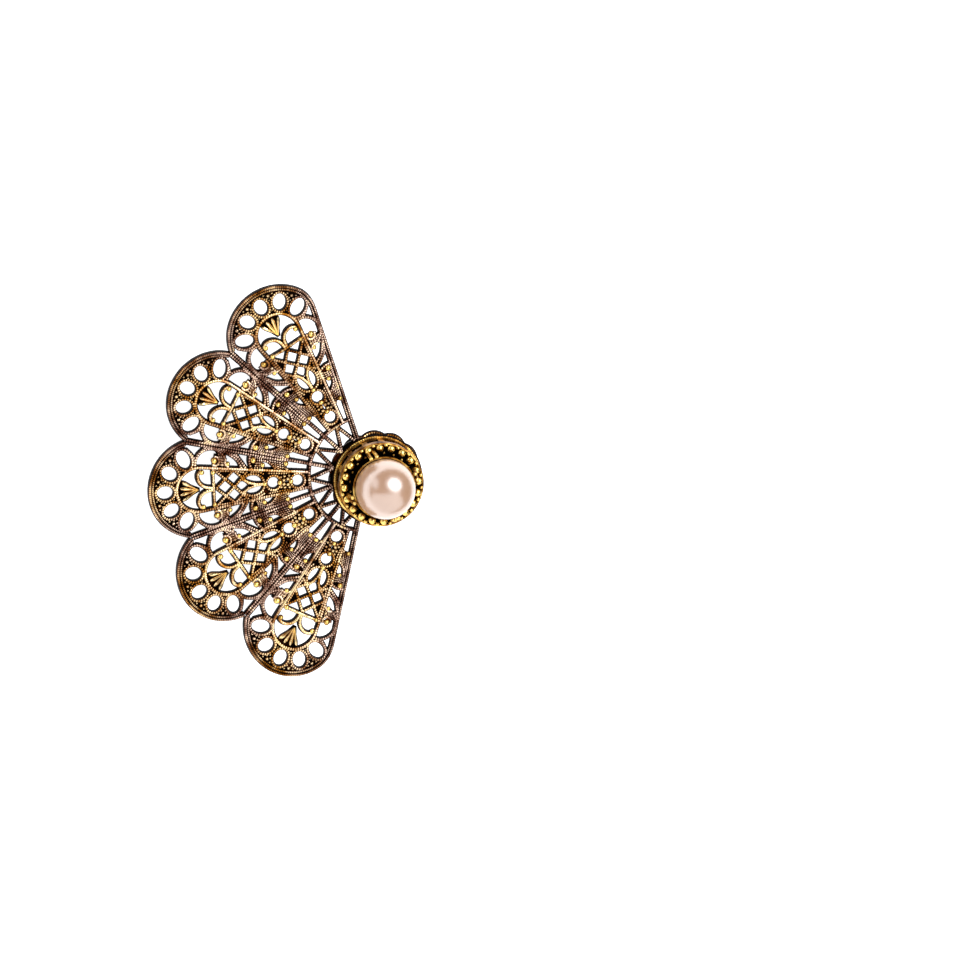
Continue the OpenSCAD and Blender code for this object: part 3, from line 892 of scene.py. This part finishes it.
class EARRING_OT_fan_lace(bpy.types.Operator):
    """Weaves the wire lace of all lobes in place of the fan's solid"""

    bl_idname = "earring.fan_lace"
    bl_label = "Fan lace"

    def execute(self, context):
        sizes, colours = context.scene.earring_sizes, context.scene.earring_colours
        brass = antique_brass("antiqued_stamped_brass", colours, painted_wear)
        gilt = antique_brass("rubbed_gilt_relief", colours, painted_wear, True)
        straight_sides = {0: -1, LOBES - 1: 1}
        for number in range(LOBES):
            lace = lobe_lace(sizes, straight_sides.get(number, 0))
            for name, heap, finish in (("lace_lobe", lace, brass), ("gilded_lobe", lace.gilded, gilt)):
                data = heap.placed(lambda points: at_rest(on_lobe(points, number)), valley_cast)
                make_piece(f"{name}_{number + 1}", data, finish, ("filigree_fan",))
        return {"FINISHED"}


class EARRING_OT_crown(bpy.types.Operator):
    """Finishes the crown, its cup and the rosette behind it"""

    bl_idname = "earring.crown"
    bl_label = "Crown and rosette"

    def execute(self, context):
        colours = context.scene.earring_colours
        nodes = frame["nodes"]
        # This finish paints the crown's dish and the inside behind its windows black as shade; its wall, rim
        # and claws are worn bright
        wall = antique_brass("antiqued_cast_brass_painted_shade", colours, crown_wear_and_painted_shade, True)
        plain = antique_brass("antiqued_plain_brass", colours, even_wear(0.32))
        bright = antique_brass("rubbed_brass", colours, even_wear(0.75), True)
        for name, material in (("gallery_crown", wall), ("pearl_cup", bright), ("ear_post", bright)):
            nodes[name].data.materials.clear()
            nodes[name].data.materials.append(material)
        rubbed = antique_brass("rubbed_trim_brass", colours, painted_wear, True)
        trim = crown_trim().placed(lambda points: at_rest(round_crown(points)))
        make_piece("crown_trim", trim, rubbed)
        milled = antique_brass("antiqued_rosette_brass", colours, painted_wear)
        petals = rosette_lace().placed(lambda points: at_rest(round_crown(points)))
        make_piece("rosette_lace", petals, milled, ("back_rosette",))
        hub = Heap()
        patch(hub, arc(CROWN, HUB_RADIUS, 0, 350, steps=36), PLATE_TOP - HUB_FOOT)
        plate = hub.placed(lambda points: at_rest(points + [0, 0, HUB_FOOT]))
        make_piece("hub_plate", plate, plain, ("filigree_fan",))
        return {"FINISHED"}


class EARRING_OT_pearl(bpy.types.Operator):
    """Gives the pearl its lustre"""

    bl_idname = "earring.pearl"
    bl_label = "Pearl"

    def execute(self, context):
        node = frame["nodes"]["pearl"]
        node.data.materials.clear()
        node.data.materials.append(pearl_coat(context.scene.earring_colours))
        return {"FINISHED"}


def photo_axes():
    """The picture's right, up and towards-the-viewer directions in the row frame."""
    c, s = math.cos(PHOTO_TURN), math.sin(PHOTO_TURN)
    rows = np.array([[c, -s, 0], [s, c, 0]])
    lean = np.array(LEAN_WAY) / np.linalg.norm(LEAN_WAY)
    along = lean @ rows
    rows = rows + np.outer(lean, along) * (math.cos(PHOTO_LEAN) - 1)
    rows[:, 2] += lean * math.sin(PHOTO_LEAN)
    zero = at_rest([(0, 0, 0)])[0]
    right, up = (Vector(at_rest([row])[0] - zero).normalized() for row in rows)
    return right, up, right.cross(up)


def facing(place, *axes):
    """The matrix of an object at a place with its three axes along directions."""
    return Matrix.Translation(place) @ Matrix(axes).transposed().to_4x4()


def soft_box(name, place, target, across, width, height, power, shape):
    """A soft box aimed at a point, with its width along a direction."""
    data = bpy.data.lights.new(name, "AREA")
    data.shape = shape
    data.size, data.size_y, data.energy = width, height, power
    data.color = rgb(LIGHT_COLOUR)
    light = bpy.data.objects.new(name, data)
    back = (place - target).normalized()
    side = (across - back * across.dot(back)).normalized()
    light.matrix_world = facing(place, side, back.cross(side), back)
    bpy.context.scene.collection.objects.link(light)


def floor_sheet(settings):
    """The paper that the earring lies on."""
    square = ((-1, -1), (1, -1), (1, 1), (-1, 1))
    corners = [(x * FLOOR_HALF, y * FLOOR_HALF, -FLOOR_DROP) for x, y in square]
    mesh = bpy.data.meshes.new("floor")
    mesh.from_pydata(corners, [], [(0, 1, 2, 3)])
    mesh.materials.append(floor_paper(settings))
    floor = bpy.data.objects.new("floor", mesh)
    bpy.context.scene.collection.objects.link(floor)


def photo_camera(right, up, toward):
    """A camera with the photograph's view and its place in the picture."""
    origin = Vector(at_rest([(0, 0, 0)])[0])
    middle = PHOTO_SIZE / 2
    shift_right = (middle - PHOTO_ORIGIN[0]) / PHOTO_SCALE * MM
    shift_up = (PHOTO_ORIGIN[1] - middle) / PHOTO_SCALE * MM
    target = origin + right * shift_right + up * shift_up
    data = bpy.data.cameras.new("camera")
    data.sensor_width = SENSOR
    data.sensor_fit = "HORIZONTAL"
    data.lens = SENSOR * CAMERA_DISTANCE / (PHOTO_SIZE / PHOTO_SCALE * MM)
    data.clip_end = 10
    camera = bpy.data.objects.new("camera", data)
    camera.matrix_world = facing(target + toward * CAMERA_DISTANCE, right, up, toward)
    bpy.context.scene.collection.objects.link(camera)
    return camera


class EARRING_OT_stage(bpy.types.Operator):
    """Sets the floor, the lights and the camera at the photograph's angle"""

    bl_idname = "earring.stage"
    bl_label = "Stage"

    def execute(self, context):
        scene = context.scene
        floor_sheet(scene.earring_colours)
        right, up, toward = photo_axes()
        scene.camera = photo_camera(right, up, toward)
        pearl = Vector(at_rest([(*CROWN, PEARL_HEIGHT)])[0])
        for name, (x, y, z), distance, width, height, power, shape in SOFT_BOXES:
            way = (right * x + up * y + toward * z).normalized()
            soft_box(name, pearl + way * distance, pearl, right, width, height, power, shape)
        world = bpy.data.worlds.new("studio")
        world.use_nodes = True
        background = world.node_tree.nodes["Background"]
        background.inputs["Color"].default_value = (*rgb(ROOM_COLOUR), 1)
        background.inputs["Strength"].default_value = ROOM_STRENGTH
        scene.world = world
        scene.view_settings.view_transform = "Standard"
        return {"FINISHED"}


class EARRING_PT_panel(bpy.types.Panel):
    """Shows the earring's sizes and colours, and a button for each operator"""

    bl_idname = "EARRING_PT_panel"
    bl_label = "Fan earring"
    bl_space_type = "VIEW_3D"
    bl_region_type = "UI"
    bl_category = "Earring"

    def draw(self, context):
        for group in (context.scene.earring_sizes, context.scene.earring_colours):
            for key in group.__annotations__:
                self.layout.prop(group, key)
        for operator in OPERATORS:
            self.layout.operator(operator.bl_idname)


OPERATORS = (EARRING_OT_fan_lace, EARRING_OT_crown, EARRING_OT_pearl, EARRING_OT_stage)
CLASSES = (EarringSizes, EarringColours, *OPERATORS, EARRING_PT_panel)


def register():
    for cls in CLASSES:
        bpy.utils.register_class(cls)
    bpy.types.Scene.earring_sizes = bpy.props.PointerProperty(type=EarringSizes)
    bpy.types.Scene.earring_colours = bpy.props.PointerProperty(type=EarringColours)


def unregister():
    del bpy.types.Scene.earring_colours
    del bpy.types.Scene.earring_sizes
    for cls in reversed(CLASSES):
        bpy.utils.unregister_class(cls)


def main():
    register()
    bpy.ops.earring.fan_lace()
    bpy.ops.earring.crown()
    bpy.ops.earring.pearl()
    bpy.ops.earring.stage()


if __name__ == "__main__":
    main()
